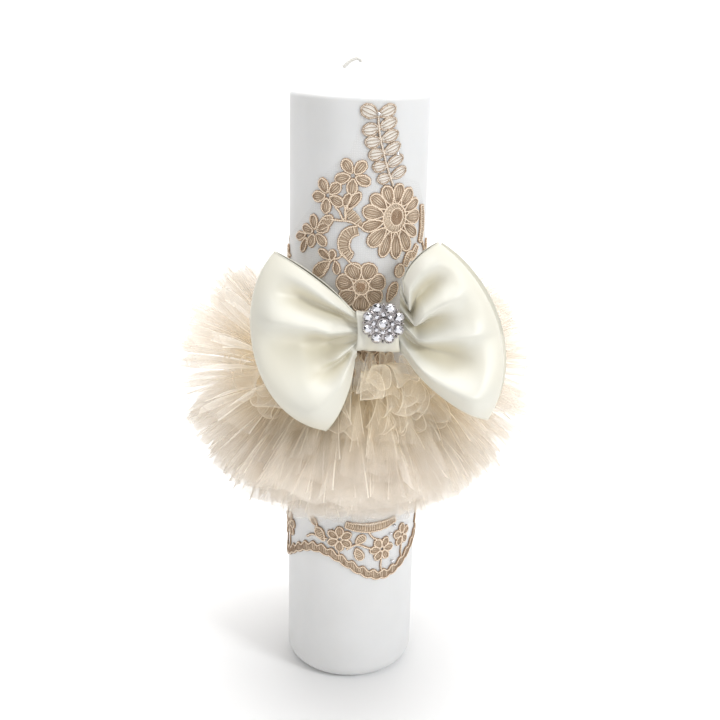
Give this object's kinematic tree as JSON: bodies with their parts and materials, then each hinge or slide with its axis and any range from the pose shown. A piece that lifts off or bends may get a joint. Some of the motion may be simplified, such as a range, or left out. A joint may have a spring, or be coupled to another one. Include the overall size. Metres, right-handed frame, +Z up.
{
  "type": "decorated pillar candle",
  "caption": "Tall pointed pillar candle dressed with a corded lace sleeve, a gathered tulle pouf, a satin bow and a rhinestone brooch.",
  "frame": {"origin": "centre of the candle's flat base, on the surface it stands on", "axes": "+Z up along the candle, -Y is the front with the bow and brooch, +X to the right seen from the front"},
  "size_m": [0.1856, 0.1843, 0.3322],
  "materials": {
    "wax": "smooth cast wax with a soft satin surface",
    "wick_cotton": "braided cotton",
    "tin": "stamped tin",
    "lace_net": "fine hexagonal net",
    "lace_embroidery": "satin-stitch embroidery with a raised outline cord",
    "pin_steel": "polished steel",
    "tulle": "sheer peach-cream tulle",
    "thread": "twisted sewing thread",
    "satin": "ivory satin with a soft sheen",
    "glue": "set glue",
    "silver": "polished silver-coloured metal",
    "rhinestone": "cut clear stone with a foil back"
  },
  "bodies": {
    "root": {"candle_body": "wax", "wick": "wick_cotton", "wick_sustainer": "tin", "lace_net_sleeve": "lace_net", "lace_border_band": "lace_embroidery", "lace_crescent_bands": "lace_embroidery", "lace_border_flowers": "lace_embroidery", "lace_border_leaves": "lace_embroidery", "lace_large_flower": "lace_embroidery", "lace_round_flower": "lace_embroidery", "lace_small_flowers": "lace_embroidery", "lace_leaf_spray": "lace_embroidery", "lace_scroll_leaf": "lace_embroidery", "lace_side_motifs": "lace_embroidery", "lace_pins": "pin_steel", "tulle_gathering_thread": "thread", "tulle_rosette": "tulle", "bow_left_loop": "satin", "bow_right_loop": "satin", "bow_knot_band": "satin", "bow_pinch_thread": "thread", "bow_glue_pad": "glue", "brooch_base": "silver", "brooch_shank": "silver", "brooch_center_bezel": "silver", "brooch_outer_stones": "rhinestone", "brooch_inner_stones": "rhinestone", "brooch_center_stone": "rhinestone", "tulle_layer_1": "tulle", "tulle_layer_2": "tulle", "tulle_layer_3": "tulle", "tulle_layer_4": "tulle", "tulle_layer_5": "tulle", "tulle_layer_6": "tulle", "tulle_layer_7": "tulle"}
  },
  "joints": []
}
